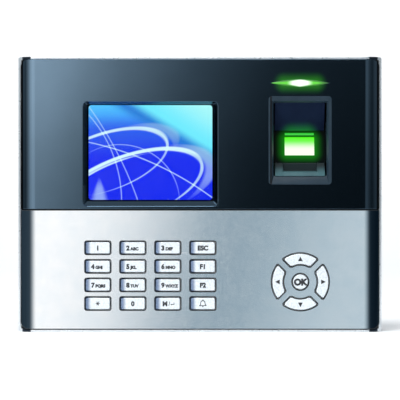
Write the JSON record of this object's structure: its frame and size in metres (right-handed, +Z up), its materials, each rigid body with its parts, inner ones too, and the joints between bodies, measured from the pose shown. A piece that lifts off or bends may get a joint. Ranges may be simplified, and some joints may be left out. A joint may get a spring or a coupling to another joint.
{
  "type": "fingerprint scanner terminal",
  "caption": "Wall-mounted fingerprint terminal with a colour display, a pressable keypad, arrow keys round an OK key and a lit finger sensor.",
  "frame": {"origin": "on the wall plane, at the back face of the wall plate, behind the middle of the case front", "axes": "+Y points into the wall and the front faces -Y, +X is to the right seen from the front, +Z is up"},
  "size_m": [0.18, 0.036, 0.1354],
  "materials": {
    "fascia_black": "black piano gloss",
    "fascia_silver": "silver-grey paint, satin",
    "case_front": "light grey, fine grain",
    "case_rear": "black, spark-eroded grain",
    "bezel_grey": "blue-grey, satin",
    "dark_plastic": "dark, smooth",
    "rest_grey": "grey, satin",
    "keycap": "pearl silver-white, satin",
    "window_clear": "clear, gloss",
    "lcd_picture": "lit blue picture",
    "steel": "zinc plated",
    "screw_steel": "nickel plated",
    "shield_steel": "tin plated",
    "board_green": "solder resist, gloss",
    "chip_black": "moulded epoxy",
    "film_amber": "polyimide film",
    "ribbon_white": "polyester film",
    "rubber_grey": "silicone, matt",
    "rubber_black": "soft, matt",
    "foam_black": "closed-cell foam",
    "prism_green": "optical glass, lit green from below",
    "led_green": "clear epoxy over a green die",
    "lens_white": "milky, diffusing",
    "terminal_green": "moulded nylon"
  },
  "bodies": {
    "terminal": {"wall_plate": "steel", "rear_housing": "case_rear", "front_housing": "case_front", "upper_fascia": "fascia_black", "lower_fascia": "fascia_silver", "display_window": "window_clear", "lcd_seal": "foam_black", "lcd_panel": "lcd_picture", "lcd_frame": "shield_steel", "lcd_flex": "film_amber", "fingerprint_bezel": "bezel_grey", "finger_hood": "dark_plastic", "finger_rest": "rest_grey", "sensor_housing": "dark_plastic", "sensor_prism": "prism_green", "sensor_camera": "chip_black", "sensor_leds": "led_green", "sensor_board": "board_green", "sensor_ribbon": "ribbon_white", "status_lens": "lens_white", "status_board": "board_green", "keypad_mat": "rubber_grey", "key_board": "board_green", "key_ribbon": "ribbon_white", "main_board": "board_green", "board_chips": "chip_black", "ethernet_socket": "shield_steel", "power_jack": "chip_black", "terminal_block": "terminal_green", "usb_socket": "shield_steel", "coin_cell": "shield_steel", "speaker": "chip_black", "reset_switch": "shield_steel", "housing_screws": "screw_steel", "board_screws": "screw_steel", "security_screw": "screw_steel"},
    "key_1": {"key_1": "keycap"},
    "key_2": {"key_2": "keycap"},
    "key_3": {"key_3": "keycap"},
    "key_esc": {"key_esc": "keycap"},
    "key_4": {"key_4": "keycap"},
    "key_5": {"key_5": "keycap"},
    "key_6": {"key_6": "keycap"},
    "key_f1": {"key_f1": "keycap"},
    "key_7": {"key_7": "keycap"},
    "key_8": {"key_8": "keycap"},
    "key_9": {"key_9": "keycap"},
    "key_f2": {"key_f2": "keycap"},
    "key_star": {"key_star": "keycap"},
    "key_0": {"key_0": "keycap"},
    "key_menu": {"key_menu": "keycap"},
    "key_bell": {"key_bell": "keycap"},
    "nav_up": {"nav_up": "keycap"},
    "nav_left": {"nav_left": "keycap"},
    "nav_down": {"nav_down": "keycap"},
    "nav_right": {"nav_right": "keycap"},
    "ok_key": {"ok_key": "keycap"},
    "usb_cover": {"usb_cover": "rubber_black"},
    "reset_button": {"reset_button": "dark_plastic"}
  },
  "joints": [
    {"name": "key_1_press", "type": "slide", "parent": "terminal", "child": "key_1", "axis": [0, 1, 0], "range_m": [0, 0.001], "stiffness_N_per_m": 1000},
    {"name": "key_2_press", "type": "slide", "parent": "terminal", "child": "key_2", "axis": [0, 1, 0], "range_m": [0, 0.001], "stiffness_N_per_m": 1000},
    {"name": "key_3_press", "type": "slide", "parent": "terminal", "child": "key_3", "axis": [0, 1, 0], "range_m": [0, 0.001], "stiffness_N_per_m": 1000},
    {"name": "key_esc_press", "type": "slide", "parent": "terminal", "child": "key_esc", "axis": [0, 1, 0], "range_m": [0, 0.001], "stiffness_N_per_m": 1000},
    {"name": "key_4_press", "type": "slide", "parent": "terminal", "child": "key_4", "axis": [0, 1, 0], "range_m": [0, 0.001], "stiffness_N_per_m": 1000},
    {"name": "key_5_press", "type": "slide", "parent": "terminal", "child": "key_5", "axis": [0, 1, 0], "range_m": [0, 0.001], "stiffness_N_per_m": 1000},
    {"name": "key_6_press", "type": "slide", "parent": "terminal", "child": "key_6", "axis": [0, 1, 0], "range_m": [0, 0.001], "stiffness_N_per_m": 1000},
    {"name": "key_f1_press", "type": "slide", "parent": "terminal", "child": "key_f1", "axis": [0, 1, 0], "range_m": [0, 0.001], "stiffness_N_per_m": 1000},
    {"name": "key_7_press", "type": "slide", "parent": "terminal", "child": "key_7", "axis": [0, 1, 0], "range_m": [0, 0.001], "stiffness_N_per_m": 1000},
    {"name": "key_8_press", "type": "slide", "parent": "terminal", "child": "key_8", "axis": [0, 1, 0], "range_m": [0, 0.001], "stiffness_N_per_m": 1000},
    {"name": "key_9_press", "type": "slide", "parent": "terminal", "child": "key_9", "axis": [0, 1, 0], "range_m": [0, 0.001], "stiffness_N_per_m": 1000},
    {"name": "key_f2_press", "type": "slide", "parent": "terminal", "child": "key_f2", "axis": [0, 1, 0], "range_m": [0, 0.001], "stiffness_N_per_m": 1000},
    {"name": "key_star_press", "type": "slide", "parent": "terminal", "child": "key_star", "axis": [0, 1, 0], "range_m": [0, 0.001], "stiffness_N_per_m": 1000},
    {"name": "key_0_press", "type": "slide", "parent": "terminal", "child": "key_0", "axis": [0, 1, 0], "range_m": [0, 0.001], "stiffness_N_per_m": 1000},
    {"name": "key_menu_press", "type": "slide", "parent": "terminal", "child": "key_menu", "axis": [0, 1, 0], "range_m": [0, 0.001], "stiffness_N_per_m": 1000},
    {"name": "key_bell_press", "type": "slide", "parent": "terminal", "child": "key_bell", "axis": [0, 1, 0], "range_m": [0, 0.001], "stiffness_N_per_m": 1000},
    {"name": "nav_up_press", "type": "slide", "parent": "terminal", "child": "nav_up", "axis": [0, 1, 0], "range_m": [0, 0.001], "stiffness_N_per_m": 1000},
    {"name": "nav_left_press", "type": "slide", "parent": "terminal", "child": "nav_left", "axis": [0, 1, 0], "range_m": [0, 0.001], "stiffness_N_per_m": 1000},
    {"name": "nav_down_press", "type": "slide", "parent": "terminal", "child": "nav_down", "axis": [0, 1, 0], "range_m": [0, 0.001], "stiffness_N_per_m": 1000},
    {"name": "nav_right_press", "type": "slide", "parent": "terminal", "child": "nav_right", "axis": [0, 1, 0], "range_m": [0, 0.001], "stiffness_N_per_m": 1000},
    {"name": "ok_key_press", "type": "slide", "parent": "terminal", "child": "ok_key", "axis": [0, 1, 0], "range_m": [0, 0.001], "stiffness_N_per_m": 1000},
    {"name": "usb_cover_hinge", "type": "hinge", "parent": "terminal", "child": "usb_cover", "pos_m": [0.08855, -0.0176, -0.0124], "axis": [0, 1, 0], "range_deg": [0, 95], "stiffness_Nm_per_rad": 0.0006},
    {"name": "reset_button_press", "type": "slide", "parent": "terminal", "child": "reset_button", "axis": [0, -1, 0], "range_m": [0, 0.0003], "stiffness_N_per_m": 3000}
  ]
}
